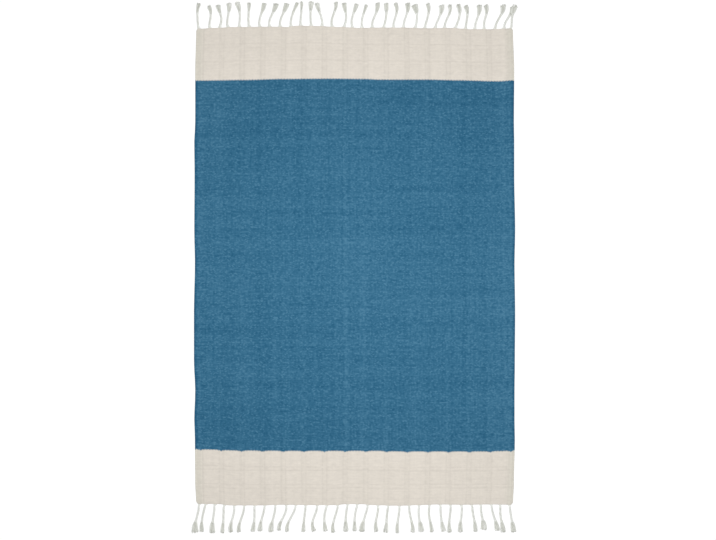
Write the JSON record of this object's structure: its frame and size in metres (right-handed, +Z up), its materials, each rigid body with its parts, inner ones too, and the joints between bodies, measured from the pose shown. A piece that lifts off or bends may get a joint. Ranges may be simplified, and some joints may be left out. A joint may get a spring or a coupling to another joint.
{
  "type": "kids rug",
  "caption": "Flat-woven cotton rug for a child's room: blue field, natural bands at both ends with a faint windowpane relief, and knotted fringes along the short ends.",
  "frame": {"origin": "on the floor under the middle of the whole rug, fringes included", "axes": "+Z up from the floor, +Y along the rug towards its far end, the top of the picture, +X to the right"},
  "size_m": [1.0216, 1.6702, 0.0084],
  "materials": {
    "blue_cotton": "matt flat weave, natural at both ends",
    "natural_cotton": "matt twisted cotton"
  },
  "bodies": {
    "root": {"rug_cloth": "blue_cotton", "fringe_far": "natural_cotton", "fringe_near": "natural_cotton"}
  },
  "joints": []
}
